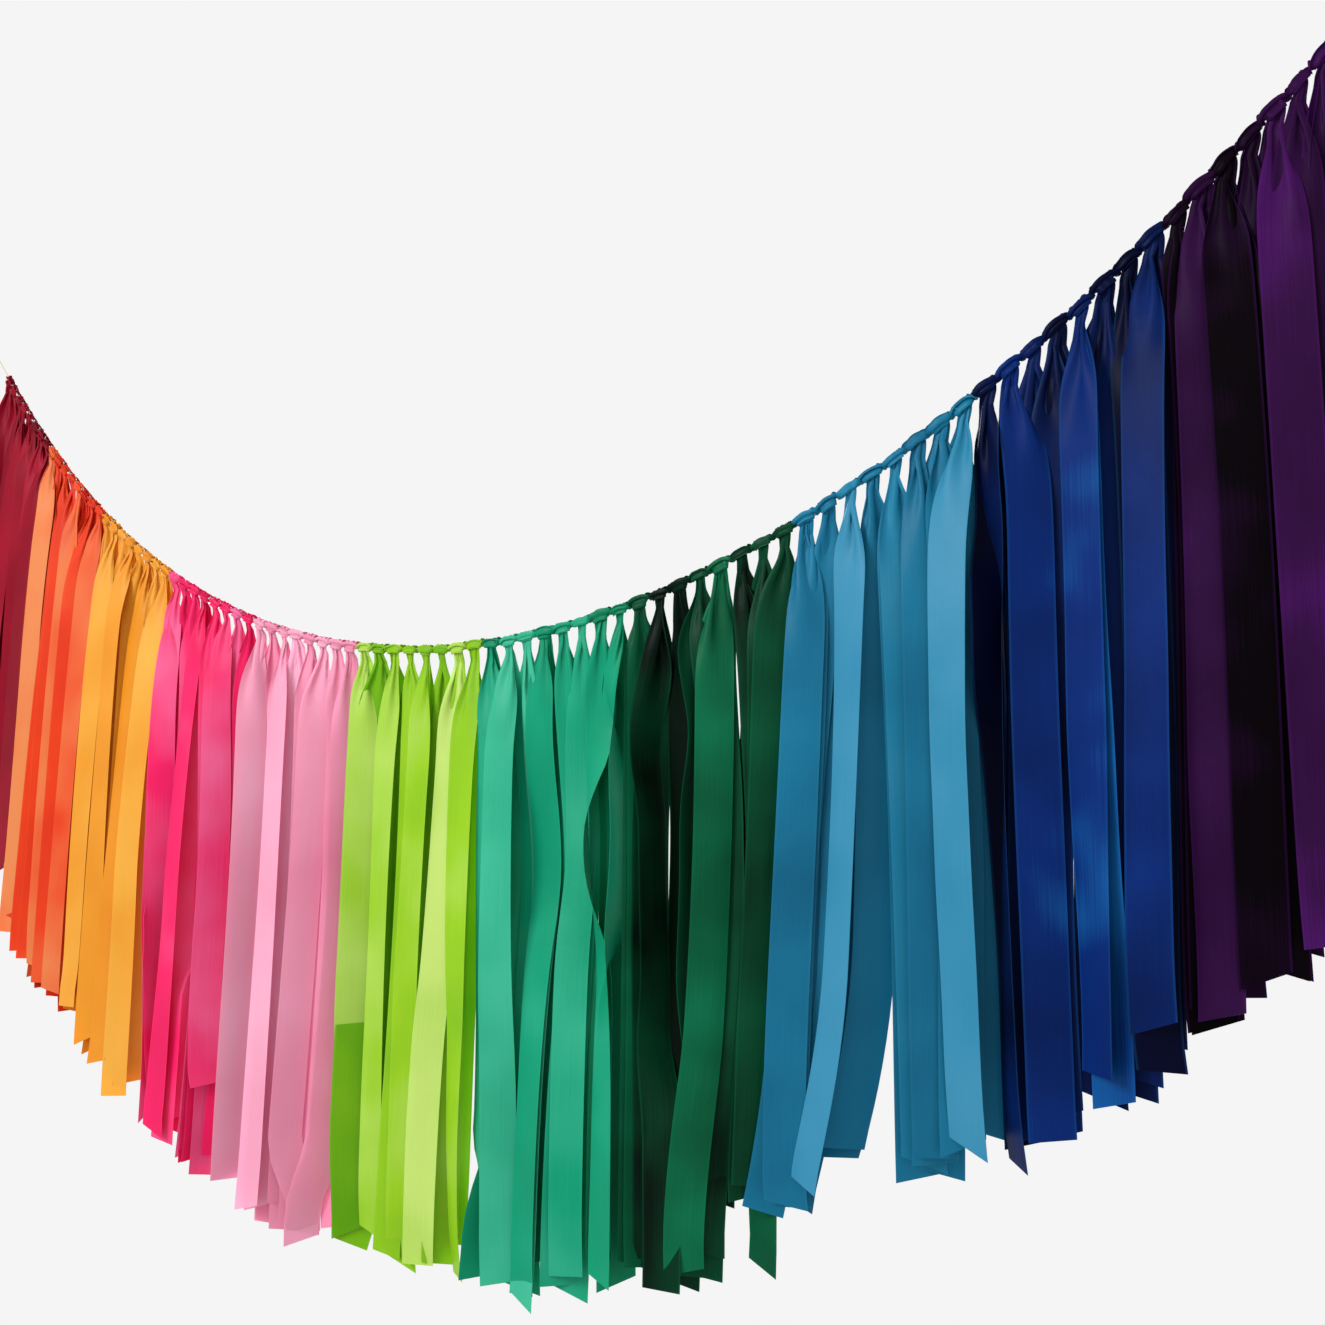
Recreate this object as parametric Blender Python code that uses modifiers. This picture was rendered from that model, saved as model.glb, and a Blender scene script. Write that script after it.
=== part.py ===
"""Ribbon garland: satin ribbons folded in half and hitched side by side on a thin twine.

Eighty-eight ribbons, eight of each of eleven colours, hang from a twine that sags between
two hooks. Each ribbon is one strip: its fold is laid over the twine and both of its tails are
pulled through the fold, which leaves a lark's head hitch with a bar across its front.
X runs along the garland, Y away from its front, Z up, from the eye of the left loop.
"""

import math

import bmesh
import bpy
from mathutils import Vector

MM = 0.001

# Twine, and the swag that the weight of the ribbons pulls it into.
TWINE_DIAMETER = 1.8 * MM
SWAG_SIZE = 711 * MM
LOWEST_SHARE = 0.538
HITCH_PITCH = 16.8 * MM
LEFT_LEAD = 62 * MM
RIGHT_LEAD = 62 * MM

# Loop at each end of the twine, a round eye closed by turns about the lead.
LOOP_RADIUS = 9 * MM
LOOP_MOUTH = math.radians(120)
LOOP_POINTS = 13
LOOP_TURNS = 2
POINTS_PER_TURN = 8
TURN_GAP = 0.6 * MM
TWINE_END = 7 * MM
TWINE_STEP = 25 * MM

# Ribbon: an inch wide, a yard long, cut by hand.
RIBBON_WIDTH = 25.4 * MM
CUT_LENGTH = 914 * MM
RIBBON_THICKNESS = 0.4 * MM
CUT_SPREAD = 5 * MM
CUT_SLANT = 3 * MM

# Hitch, where the ribbon is gathered to a strand.
STRAND_WIDTH = 3.0 * MM
STRAND_THICKNESS = 1.0 * MM
SEAT_GAP = 0.3 * MM
BAR_HEIGHT = 3.8 * MM
HITCH_TAKE = 20 * MM
NECK_DROP = 16 * MM
NECK_WIDTH = 4.4 * MM
FLARE_DROP = 62 * MM
PRESSED_OVERLAP = 1.0 * MM

# Colours along the twine, each with its ribbons' length as a share of CUT_LENGTH.
RIBBONS_PER_COLOUR = 8
PAIR_COUNT = 29
COLOURS = (
    ("red", (0.58, 0.03, 0.12), 1.00),
    ("orange", (0.93, 0.32, 0.10), 1.07),
    ("gold", (0.93, 0.64, 0.14), 1.05),
    ("hot_pink", (0.92, 0.12, 0.42), 1.06),
    ("light_pink", (0.95, 0.66, 0.80), 1.05),
    ("lime", (0.58, 0.80, 0.12), 1.01),
    ("jade", (0.08, 0.60, 0.42), 1.01),
    ("forest", (0.04, 0.38, 0.18), 1.015),
    ("light_blue", (0.18, 0.60, 0.76), 0.97),
    ("royal_blue", (0.08, 0.26, 0.62), 1.00),
    ("purple", (0.34, 0.08, 0.44), 0.995),
)

# How a colour's ribbons hang from its first to its last, as shares of the step along X: the
# span that a turned tail takes up, and its place beside the hitch. The outer ribbons turn edge
# on, so that one colour sways past the next.
TAIL_SPAN_SHARES = (0.35, 0.85, 1.25, 1.35, 1.35, 1.25, 0.85, 0.35)
TAIL_PLACE_SHARES = (0.12, 0.20, 0.25, 0.25, 0.25, 0.25, 0.20, 0.12)

FRONT = Vector((0, -1, 0))
UP = Vector((0, 0, 1))
RIBBON_COUNT = RIBBONS_PER_COLOUR * len(COLOURS)
DRESSED_ARC = (RIBBON_COUNT - 1) * HITCH_PITCH

# The strand goes round the twine in flat runs. At this radius the runs just clear it.
WRAP_STEP = math.radians(85)
WRAP_START = math.radians(-10)
WRAP_RADIUS = (TWINE_DIAMETER / 2 + SEAT_GAP + STRAND_THICKNESS / 2) / math.cos(WRAP_STEP / 2)


def new_collection(name):
    collection = bpy.data.collections.new(name)
    bpy.context.scene.collection.children.link(collection)
    return collection


def principled(name, colour, roughness):
    """A dielectric material in the given sRGB colour."""
    material = bpy.data.materials.new(name)
    material.use_nodes = True
    shader = material.node_tree.nodes["Principled BSDF"]
    linear = [((c + 0.055) / 1.055) ** 2.4 if c > 0.04045 else c / 12.92 for c in colour]
    shader.inputs["Base Color"].default_value = (*linear, 1)
    shader.inputs["Roughness"].default_value = roughness
    shader.inputs["Metallic"].default_value = 0
    return material


def swag(arc):
    """A point of the catenary and its direction, by the arc from its lowest point."""
    point = Vector((SWAG_SIZE * math.asinh(arc / SWAG_SIZE), 0, math.hypot(SWAG_SIZE, arc)))
    along = Vector((SWAG_SIZE, 0, arc)).normalized()
    return point, along


def end_of_twine(arc, side, lead):
    """The end of a lead, the way out along it, and the eye of the loop that follows."""
    start, along = swag(arc)
    out = along * side
    neck = start + out * lead
    return neck, out, neck + out * LOOP_RADIUS / math.cos(LOOP_MOUTH / 2)


def twine_loop(neck, out, eye):
    """Points of a loop and of the turns that close it round the lead."""
    across = Vector((-out.z, 0, out.x))
    points = []
    for i in range(LOOP_POINTS):
        turn = LOOP_MOUTH / 2 + i / (LOOP_POINTS - 1) * (math.tau - LOOP_MOUTH)
        points.append(eye + (-out * math.cos(turn) - across * math.sin(turn)) * LOOP_RADIUS)
    radius = TWINE_DIAMETER + TURN_GAP
    for i in range(LOOP_TURNS * POINTS_PER_TURN + 1):
        turn = math.tau * i / POINTS_PER_TURN
        back = radius * (i / POINTS_PER_TURN + 1)
        points.append(neck - out * back + (across * math.cos(turn) + FRONT * math.sin(turn)) * radius)
    points.append(points[-1] + (across * 2 - out).normalized() * TWINE_END)
    return points


def least_gap(points):
    """The least distance between the surfaces of stretches of a tube that aren't neighbours."""
    least = math.inf
    skip = 3
    for i, a in enumerate(points):
        for b in points[i + skip:]:
            least = min(least, (a - b).length - TWINE_DIAMETER)
    return least


def make_twine(first_arc, last_arc, origin, collection):
    left = end_of_twine(first_arc, -1, LEFT_LEAD)
    right = end_of_twine(last_arc, 1, RIGHT_LEAD)
    left_turns = twine_loop(*left)
    right_turns = twine_loop(*right)
    steps = round((last_arc - first_arc) / TWINE_STEP)
    run = [swag(first_arc + (last_arc - first_arc) * i / steps)[0] for i in range(steps + 1)]
    least = min(least_gap(left_turns), least_gap(right_turns))
    print("least gap of the twine to itself, mm:", round(least / MM, 2))
    points = [*reversed(left_turns), left[0], *run, right[0], *right_turns]
    curve = bpy.data.curves.new("twine", "CURVE")
    curve.dimensions = "3D"
    curve.bevel_depth = TWINE_DIAMETER / 2
    curve.bevel_resolution = 2
    curve.use_fill_caps = True
    spline = curve.splines.new("POLY")
    spline.points.add(len(points) - 1)
    for control, point in zip(spline.points, points):
        control.co = (*(point - origin), 1)
    curve.materials.append(principled("twine", (0.90, 0.87, 0.78), 0.9))
    twine = bpy.data.objects.new("twine", curve)
    collection.objects.link(twine)


def hitch_half(along, side, pressed):
    """Half of a lark's head, from the front of the twine to the bar, as pairs of edge points."""
    over = Vector((-along.z, 0, along.x))
    outer = side * along

    def place(out, front, up):
        return outer * out + FRONT * front + (over if up > 0 else UP) * up

    half = STRAND_WIDTH / 2
    sections = []
    # Up in front of the twine, over it and down behind it, a little further out each time.
    for i, share in enumerate((1.6, 1.75, 2.05)):
        turn = WRAP_START + i * WRAP_STEP
        centre = place(share * half, WRAP_RADIUS * math.cos(turn), WRAP_RADIUS * math.sin(turn))
        sections.append((centre - outer * half, centre + outer * half))
    # Under the twine the strand comes forward beside the neck, and turns in to be the bar.
    reach = min(4.4 * half, HITCH_PITCH * 0.46)
    if pressed:
        reach = HITCH_PITCH / 2 + PRESSED_OVERLAP / 2
    narrow = half * 0.8
    centre = place(reach * 0.66, WRAP_RADIUS * -0.65, -WRAP_RADIUS)
    sections.append((centre - outer * narrow, centre + outer * narrow))
    turned = (outer * 0.41 + FRONT * 0.41 - UP * 0.82) * BAR_HEIGHT * 0.4
    centre = place(reach, WRAP_RADIUS * 1.25, WRAP_RADIUS * -1.8) - outer * turned.length * 0.41
    sections.append((centre - turned, centre + turned))
    return sections


def tail_half(side, turn, place, drop, slant):
    """One tail, from its cut end up to the neck under the bar, as pairs of edge points."""
    facing = Vector((math.cos(turn), math.sin(turn), 0)) * side
    gathered = Vector((math.cos(turn * 0.8), math.sin(turn * 0.8), 0)) * side
    width = facing * RIBBON_WIDTH / 2
    sections = []
    for down, lean in ((drop, UP * slant), (FLARE_DROP, Vector())):
        centre = Vector((place, 0, -down))
        sections.append((centre - width - lean, centre + width + lean))
    neck = Vector((side * NECK_WIDTH * 0.32, 0, -NECK_DROP)) + FRONT * STRAND_THICKNESS / 2
    sections.append((neck - gathered * NECK_WIDTH / 2, neck + gathered * NECK_WIDTH / 2))
    return sections


def make_ribbon(name, number, along, colour, length, collection):
    """A whole ribbon about its hitch: left tail, left half, bar, right half, right tail."""
    spot = number % RIBBONS_PER_COLOUR
    step = HITCH_PITCH * along.x
    turn = math.acos(min(TAIL_SPAN_SHARES[spot] * step / RIBBON_WIDTH, 1))
    drop = CUT_LENGTH * length / 2 - HITCH_TAKE
    sections = []
    for side in (-1, 1):
        pressed = number < 2 * PAIR_COUNT and side == (1 if number % 2 == 0 else -1)
        uneven = CUT_SPREAD * math.sin(2.4 * number + side)
        slant = CUT_SLANT * math.sin(1.7 * number - side)
        place = side * TAIL_PLACE_SHARES[spot] * step
        half = tail_half(side, turn, place, drop + uneven, slant)
        half += hitch_half(along, side, pressed)
        if side < 0:
            bar = FRONT * WRAP_RADIUS * 1.85 - UP * WRAP_RADIUS * 2
            half.append((bar + UP * BAR_HEIGHT / 2, bar - UP * BAR_HEIGHT / 2))
            sections = half
        else:
            sections += reversed(half)
    mesh = bpy.data.meshes.new(name)
    shape = bmesh.new()
    rows = [[shape.verts.new(point) for point in pair] for pair in sections]
    for (a, b), (c, d) in zip(rows, rows[1:]):
        shape.faces.new((a, c, d, b))
    shape.to_mesh(mesh)
    shape.free()
    mesh.materials.append(principled(name, colour, 0.45))
    ribbon = bpy.data.objects.new(name, mesh)
    collection.objects.link(ribbon)
    # The strand in the hitch is gathered and thick, and the tails are a single layer.
    gathered = ribbon.vertex_groups.new(name="gathered")
    tail = 2
    for i in range(len(rows)):
        if tail <= i < len(rows) - tail:
            gathered.add((2 * i, 2 * i + 1), 1, "REPLACE")
    skin = ribbon.modifiers.new("thickness", "SOLIDIFY")
    skin.thickness = STRAND_THICKNESS
    skin.offset = 0
    skin.vertex_group = gathered.name
    skin.thickness_vertex_group = RIBBON_THICKNESS / STRAND_THICKNESS
    return ribbon


def main():
    for thing in list(bpy.data.objects):
        bpy.data.objects.remove(thing)
    parts = new_collection("ribbon_garland")
    joined = new_collection("joined_ribbons")
    first_arc = -LOWEST_SHARE * DRESSED_ARC
    origin = end_of_twine(first_arc, -1, LEFT_LEAD)[2]
    make_twine(first_arc, first_arc + DRESSED_ARC, origin, parts)
    left = None
    for number in range(RIBBON_COUNT):
        colour, tint, length = COLOURS[number // RIBBONS_PER_COLOUR]
        spot = number % RIBBONS_PER_COLOUR + 1
        paired = number < 2 * PAIR_COUNT
        second = paired and number % 2 == 1
        name = f"{colour}_ribbon_{spot}"
        if paired and not second:
            name = f"{colour}_ribbons_{spot}_{spot + 1}"
        point, along = swag(first_arc + number * HITCH_PITCH)
        home = joined if second else parts
        ribbon = make_ribbon(name, number, along, tint, length, home)
        ribbon.location = point - origin
        if second:
            # Two hitches that press against each other hang as one piece.
            ribbon.hide_render = True
            ribbon.display_type = "WIRE"
            press = left.modifiers.new("pressed", "BOOLEAN")
            press.operation = "UNION"
            press.object = ribbon
        left = ribbon


main()
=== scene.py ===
"""Looks of the ribbon garland: a twisted twine and eighty-eight satin ribbons hitched on it."""
import math

import bpy
import numpy as np
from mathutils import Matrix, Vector


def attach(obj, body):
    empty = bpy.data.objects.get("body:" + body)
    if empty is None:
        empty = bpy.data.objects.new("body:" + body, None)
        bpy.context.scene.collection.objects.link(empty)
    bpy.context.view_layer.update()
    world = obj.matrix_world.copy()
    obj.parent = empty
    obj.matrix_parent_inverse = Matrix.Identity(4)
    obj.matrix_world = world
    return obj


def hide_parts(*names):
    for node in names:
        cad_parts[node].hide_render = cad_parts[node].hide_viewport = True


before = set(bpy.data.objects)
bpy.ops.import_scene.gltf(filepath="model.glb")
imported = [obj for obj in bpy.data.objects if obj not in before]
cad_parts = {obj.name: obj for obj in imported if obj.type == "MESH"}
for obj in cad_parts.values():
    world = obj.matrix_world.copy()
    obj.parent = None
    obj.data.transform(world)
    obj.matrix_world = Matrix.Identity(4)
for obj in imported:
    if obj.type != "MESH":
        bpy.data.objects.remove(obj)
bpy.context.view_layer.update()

bpy.ops.object.select_all(action="DESELECT")
MM = 0.001

# Camera. It stands before the right end of the garland, lower than the swag, and looks to the
# left along it and slightly up, so that the left end is twice as far away as the right end.
# The ribbons are turned towards it, as in the photograph.
CAMERA_PLACE = Vector((1.390, -0.710, -0.565))
CAMERA_TURN = math.radians(34.4)
CAMERA_RISE = math.radians(8.5)
SENSOR_SIDE_MM = 36
CAMERA_LENS_MM = 35.3

camera_data = bpy.data.cameras.new("camera")
camera_data.sensor_width = SENSOR_SIDE_MM
camera_data.lens = CAMERA_LENS_MM
camera_data.clip_start = 10 * MM
camera = bpy.data.objects.new("camera", camera_data)
camera.location = CAMERA_PLACE
camera.rotation_euler = (math.pi / 2 + CAMERA_RISE, 0, CAMERA_TURN)
bpy.context.scene.collection.objects.link(camera)
bpy.context.scene.camera = camera
bpy.context.scene.view_settings.view_transform = "Standard"

# Twine: two plies of undyed cotton twisted together, sagging in a catenary between two hooks.
# Each end is bent round into a loop and turned about itself to close it.
TWINE_DIAMETER = 1.8 * MM
SWAG_SIZE = 711 * MM
LOWEST_SHARE = 0.538
HITCH_PITCH = 16.8 * MM
LEAD = 62 * MM
LOOP_RADIUS = 9 * MM
LOOP_MOUTH = math.radians(120)
LOOP_POINTS = 13
LOOP_TURNS = 2
POINTS_PER_TURN = 8
TURN_GAP = 0.6 * MM
TWINE_END = 7 * MM
TWINE_STEP = 25 * MM
PLY_RADIUS = 0.5 * MM
PLY_OFFSET = 0.4 * MM
PLY_LAY = 5 * MM
PLY_STEP = 0.8 * MM
PLY_SIDES = 8

COLOURS = (
    "red", "orange", "gold", "hot_pink", "light_pink", "lime",
    "jade", "forest", "light_blue", "royal_blue", "purple",
)
RIBBONS_PER_COLOUR = 8
RIBBON_COUNT = RIBBONS_PER_COLOUR * len(COLOURS)
DRESSED_ARC = (RIBBON_COUNT - 1) * HITCH_PITCH
FIRST_ARC = -LOWEST_SHARE * DRESSED_ARC
FRONT = Vector((0, -1, 0))


def swag(arc):
    """A point of the catenary and its direction, by the arc from its lowest point."""
    point = Vector((SWAG_SIZE * math.asinh(arc / SWAG_SIZE), 0, math.hypot(SWAG_SIZE, arc)))
    along = Vector((SWAG_SIZE, 0, arc)).normalized()
    return point, along


def end_of_twine(arc, side):
    """The end of a lead, the way out along it, and the eye of the loop that follows."""
    start, along = swag(arc)
    out = along * side
    neck = start + out * LEAD
    return neck, out, neck + out * LOOP_RADIUS / math.cos(LOOP_MOUTH / 2)


def twine_loop(neck, out, eye):
    """Points of a loop and of the turns that close it round the lead."""
    across = Vector((-out.z, 0, out.x))
    points = []
    for i in range(LOOP_POINTS):
        turn = LOOP_MOUTH / 2 + i / (LOOP_POINTS - 1) * (math.tau - LOOP_MOUTH)
        points.append(eye + (-out * math.cos(turn) - across * math.sin(turn)) * LOOP_RADIUS)
    radius = TWINE_DIAMETER + TURN_GAP
    for i in range(LOOP_TURNS * POINTS_PER_TURN + 1):
        turn = math.tau * i / POINTS_PER_TURN
        back = radius * (i / POINTS_PER_TURN + 1)
        points.append(neck - out * back + (across * math.cos(turn) + FRONT * math.sin(turn)) * radius)
    points.append(points[-1] + (across * 2 - out).normalized() * TWINE_END)
    return points


def smooth_path(points, step):
    """The points of a smooth curve through the given ones, about a step apart."""
    points = [Vector(p) for p in points]
    ends = [points[0] * 2 - points[1], *points, points[-1] * 2 - points[-2]]
    path = []
    for a, b, c, d in zip(ends, ends[1:], ends[2:], ends[3:]):
        count = max(1, round((c - b).length / step))
        for i in range(count):
            t = i / count
            bend = (a * -1 + b * 3 - c * 3 + d) * t ** 3 + (a * 2 - b * 5 + c * 4 - d) * t ** 2
            path.append((bend + (c - a) * t + b * 2) / 2)
    return path + [points[-1]]


def mesh_object(name, vertices, faces):
    """A smooth mesh object from its vertices and faces."""
    mesh = bpy.data.meshes.new(name)
    mesh.from_pydata(vertices, [], faces)
    mesh.shade_smooth()
    thing = bpy.data.objects.new(name, mesh)
    bpy.context.scene.collection.objects.link(thing)
    return thing


def twist_twine(path):
    """Vertices and faces of two plies that turn about a path."""
    normal = FRONT.copy()
    travelled = 0
    centres = []
    for i, point in enumerate(path):
        before = path[max(i - 1, 0)]
        after = path[min(i + 1, len(path) - 1)]
        along = (after - before).normalized()
        normal = (normal - along * normal.dot(along)).normalized()
        travelled += (point - before).length
        centres.append((point, along, normal, travelled))
    vertices = []
    faces = []
    for ply in range(2):
        first = len(vertices)
        for point, along, normal, travelled in centres:
            other = along.cross(normal)
            turn = math.tau * (travelled / PLY_LAY + ply / 2)
            middle = point + (normal * math.cos(turn) + other * math.sin(turn)) * PLY_OFFSET
            for side in range(PLY_SIDES):
                angle = turn + math.tau * side / PLY_SIDES
                ring = normal * math.cos(angle) + other * math.sin(angle)
                vertices.append(middle + ring * PLY_RADIUS)
        for row in range(len(centres) - 1):
            for side in range(PLY_SIDES):
                a = first + row * PLY_SIDES + side
                b = first + row * PLY_SIDES + (side + 1) % PLY_SIDES
                faces.append((a, b, b + PLY_SIDES, a + PLY_SIDES))
        last = len(vertices) - PLY_SIDES
        faces.append(tuple(range(first + PLY_SIDES - 1, first - 1, -1)))
        faces.append(tuple(range(last, last + PLY_SIDES)))
    return vertices, faces


left_end = end_of_twine(FIRST_ARC, -1)
right_end = end_of_twine(FIRST_ARC + DRESSED_ARC, 1)
origin = left_end[2]
twine_steps = round(DRESSED_ARC / TWINE_STEP)
twine_run = [swag(FIRST_ARC + DRESSED_ARC * i / twine_steps)[0] for i in range(twine_steps + 1)]
twine_points = [*reversed(twine_loop(*left_end)), left_end[0], *twine_run]
twine_points += [right_end[0], *twine_loop(*right_end)]
twine_path = smooth_path([p - origin for p in twine_points], PLY_STEP)
twine = mesh_object("twisted_twine", *twist_twine(twine_path))
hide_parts("twine")
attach(twine, "twine")


def linear(code):
    """An sRGB hex colour as a linear one with alpha."""
    shares = [int(code[i:i + 2], 16) / 255 for i in (1, 3, 5)]
    return (*[c / 12.92 if c <= 0.04045 else ((c + 0.055) / 1.055) ** 2.4 for c in shares], 1)


def add(tree, kind, settings=(), **inputs):
    """A node with its settings, and its inputs set to values or linked to sockets."""
    node = tree.nodes.new("ShaderNode" + kind)
    for name, value in dict(settings).items():
        setattr(node, name, value)
    for name, value in inputs.items():
        key = int(name[1:]) if name[1:].isdigit() else name.replace("_", " ")
        if isinstance(value, bpy.types.NodeSocket):
            tree.links.new(value, node.inputs[key])
        else:
            node.inputs[key].default_value = value
    return node


def blend(tree, share, first, second):
    """A colour between two others, by a share from 0 to 1."""
    return add(tree, "Mix", {"data_type": "RGBA"}, i0=share, i6=first, i7=second).outputs[2]


def new_material(name):
    """An empty node material and its tree."""
    material = bpy.data.materials.new(name)
    material.use_nodes = True
    material.node_tree.nodes.clear()
    return material, material.node_tree


# Undyed spun cotton: matt and cream, with painted shade in the grooves between the fibres, and faint
# stains.
# The fibres are drawn coarser than real ones, a quarter of a millimetre apart, so that they show.
FIBRE = 0.25 * MM
FIBRE_HEIGHT = 0.1 * MM
STAIN = 14 * MM

cotton, tree = new_material("undyed_cotton_twine")
place = add(tree, "TexCoord").outputs["Object"]
fibres = add(tree, "TexNoise", Vector=place, Scale=1 / FIBRE, Detail=3.0)
patches = add(tree, "TexNoise", Vector=place, Scale=1 / STAIN, Detail=2.0)
# Painted shade: the grooves that the bump sinks are darkened too.
shade = blend(tree, fibres.outputs["Fac"], linear("#B9AD97"), linear("#EFE8D8"))
stain = add(tree, "Mix", {"data_type": "RGBA", "blend_type": "MULTIPLY"},
            i0=patches.outputs["Fac"], i6=shade, i7=linear("#EDE3D0"))
bump = add(tree, "Bump", Strength=0.5, Distance=FIBRE_HEIGHT, Height=fibres.outputs["Fac"])
shader = add(tree, "BsdfPrincipled", Base_Color=stain.outputs[2], Roughness=0.9,
             Normal=bump.outputs["Normal"])
add(tree, "OutputMaterial", Surface=shader.outputs["BSDF"])
twine.data.materials.append(cotton)

# Ribbons. Each is an inch wide strip of satin, folded in half and hitched, so two tails hang
# from every hitch. A hitch takes up some of the length, and the colours were cut to slightly
# different lengths.
RIBBON_WIDTH = 25.4 * MM
CUT_LENGTH = 914 * MM
HITCH_TAKE = 20 * MM
LENGTH_SHARES = {
    "red": 1.00, "orange": 1.07, "gold": 1.05, "hot_pink": 1.06, "light_pink": 1.05,
    "lime": 1.01, "jade": 1.01, "forest": 1.015, "light_blue": 0.97, "royal_blue": 1.00,
    "purple": 0.995,
}

# A tail leaves the hitch as a narrow gathered neck and opens to the ribbon's full width.
NECK_WIDTH = 3.3 * MM
NECK_SPREAD = 1.1 * MM
NECK_DROP = 9 * MM
NECK_RUN = 38 * MM
FLARE_POWER = 2.2
TAIL_SPREAD = 4.2 * MM

# Where a tail hangs is worked out in plan, at levels down the garland. There it is a straight line
# across, drawn to where it would hang alone and pushed off the ten tails on either side. The
# pull to its own place fades from round to round, so that no tail is left inside another. Near
# the hitch the neck holds it. Tails stay close before and behind the twine.
LEVEL_STEP = 20 * MM
LEVELS_DOWN_TO = 0.92
DEPTH_LIMIT = 15.6 * MM
TAIL_GAP = 2.2 * MM
COLOUR_GAP = 0.8 * MM
SETTLE_ROUNDS = 380
PULL_AT = (0.3, 0.6, 0.85)
PULLS = (0.10, 0.03, 0.006)
NEIGHBOURS = 10

# The two necks of a ribbon turn alike, by a fifth of their tails' turns added together, and a
# twist runs down each tail as a wave of three radians. A push at a tail's edge turns it a third
# of the way. A tail pushed by many gives way less to each, and every round smooths it.
NECK_TURN_SHARE = 0.2
TWIST_WAVE = 3
SLIDE_EASE = 0.5
TURN_ARM = 3
SMOOTHING = 0.25
NECK_FREEDOM = 1.5

# How far the cut ends have drifted to the right of their hitches, in millimetres, at some of
# the eighty-eight ribbons. A colour's ribbons bunch together, so its last ones lean left. The
# light blue ones part at the fifth and the purple ones at the second.
DRIFT_AT = (
    0, 7, 8, 15, 16, 23, 24, 31, 32, 39, 40, 47, 48, 55, 59, 60, 61, 62, 63, 64, 67, 68, 71, 72, 79, 80,
    81, 82, 87,
)
DRIFTS = (
    6, 4, -8, -12, 4, -20, -8, -26, -8, -22, -6, -8, 6, -4, -16, -28, -40, -24, -28, -31, -30, 10, -8, 2,
    -20, -16, 0, -4, -12,
)

# Tails that stand out, by ribbon and side: how many degrees they are turned from facing the
# camera, how many places they hang before their neighbours, their drift in millimetres, how many
# millimetres shorter they were cut, and how many degrees they twist either way down their length.
# The ones turned far to the left are seen nearly edge on, catch the light and are painted paler.
STANDING_OUT = {
    (8, -1): (-36, 9, -16, -14, 5),
    (9, -1): (-60, 2, -4, 12, 10),
    (10, 1): (-65, 3, -14, -8, 15),
    (12, 1): (-60, 5, -10, 0, 10),
    (19, -1): (-65, 5, -6, 0, 10),
    (24, -1): (0, 8, -12, 14, 5),
    (28, 1): (0, 2, -14, 0, 5),
    (29, -1): (5, 1, -18, 0, 5),
    (29, 1): (-36, 6, -22, 60, -36),
    (32, -1): (0, 6, -8, 4, 5),
    (34, 1): (-60, 4, -12, 0, 10),
    (37, 1): (5, 6, -18, -8, 5),
    (38, -1): (0, 2, -20, 4, 5),
    (38, 1): (10, 2, -20, -4, 5),
    (40, -1): (0, 6, -8, 8, 8),
    (43, 1): (-65, 5, -8, 0, 10),
    (44, 1): (-60, 4, -8, -4, 15),
    (46, 1): (5, 6, -20, 2, 10),
    (49, 1): (-40, 5, 6, 0, 15),
    (50, 1): (-60, 5, 0, -10, 10),
    (52, 1): (0, 5, 0, 0, 5),
    (54, 1): (-60, 5, -4, 20, -15),
    (57, 1): (0, 5, 4, 0, 5),
    (58, -1): (10, 0, -18, 4, 5),
    (58, 1): (5, -2, -14, -4, 5),
    (59, 1): (5, 1, -26, 0, 4),
    (60, -1): (5, 7, -34, 0, -10),
    (60, 1): (10, -2, -38, 8, 0),
    (61, -1): (10, -3, -46, 2, 0),
    (61, 1): (10, -4, -32, 34, 0),
    (62, -1): (-25, -6, 14, -6, -60),
    (62, 1): (10, -4, -34, 38, 0),
    (63, -1): (10, -5, -34, 36, 0),
    (63, 1): (20, -5, -34, 38, 0),
    (64, -1): (0, 12, -44, 6, 2),
    (64, 1): (5, 6, -42, 4, 0),
    (65, -1): (10, 4, -42, -12, 0),
    (65, 1): (20, 3, -42, -6, 0),
    (66, -1): (10, 2, -44, 0, 10),
    (66, 1): (-60, 5, -36, 4, 10),
    (67, -1): (20, 0, -38, 10, 5),
    (67, 1): (10, 0, -26, 18, 5),
    (68, -1): (5, 1, 4, 4, 0),
    (68, 1): (5, 1, 4, 12, 0),
    (69, 1): (5, 6, -2, 10, 5),
    (70, 1): (10, 7, -12, 8, 5),
    (71, -1): (10, -2, 4, 6, 5),
    (71, 1): (-50, 8, -12, 0, 8),
    (72, -1): (10, -2, -6, 4, 5),
    (73, 1): (0, 7, -2, 6, 5),
    (75, -1): (0, 2, -12, 0, 5),
    (76, -1): (-50, 6, 4, 0, 20),
    (77, -1): (5, 3, -4, 4, 5),
    (78, -1): (0, 6, -14, 0, 5),
    (80, -1): (10, 2, -14, 0, 0),
    (80, 1): (20, 3, -18, 0, 0),
    (81, -1): (-60, 7, -10, -4, -10),
    (81, 1): (10, -6, -20, 4, 0),
    (82, -1): (5, 11, -12, 4, 0),
    (82, 1): (0, 5, -4, 8, 0),
    (84, 1): (0, 7, -8, 0, 5),
}

# Ribbons that hang straight and then swing away to the left near their cut ends.
CURLED = (65, 66, 67)
CURL_SWING = -20 * MM
CURL_SHARE = 0.68
LATEST_CURL = 1.5

# Painted light and shade: how far a tail strays from its ribbon's shade, and how much paler a lit one is.
PAINTED_LIGHT_STRAY = 0.35
CAUGHT_LIGHT = 0.45

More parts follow.
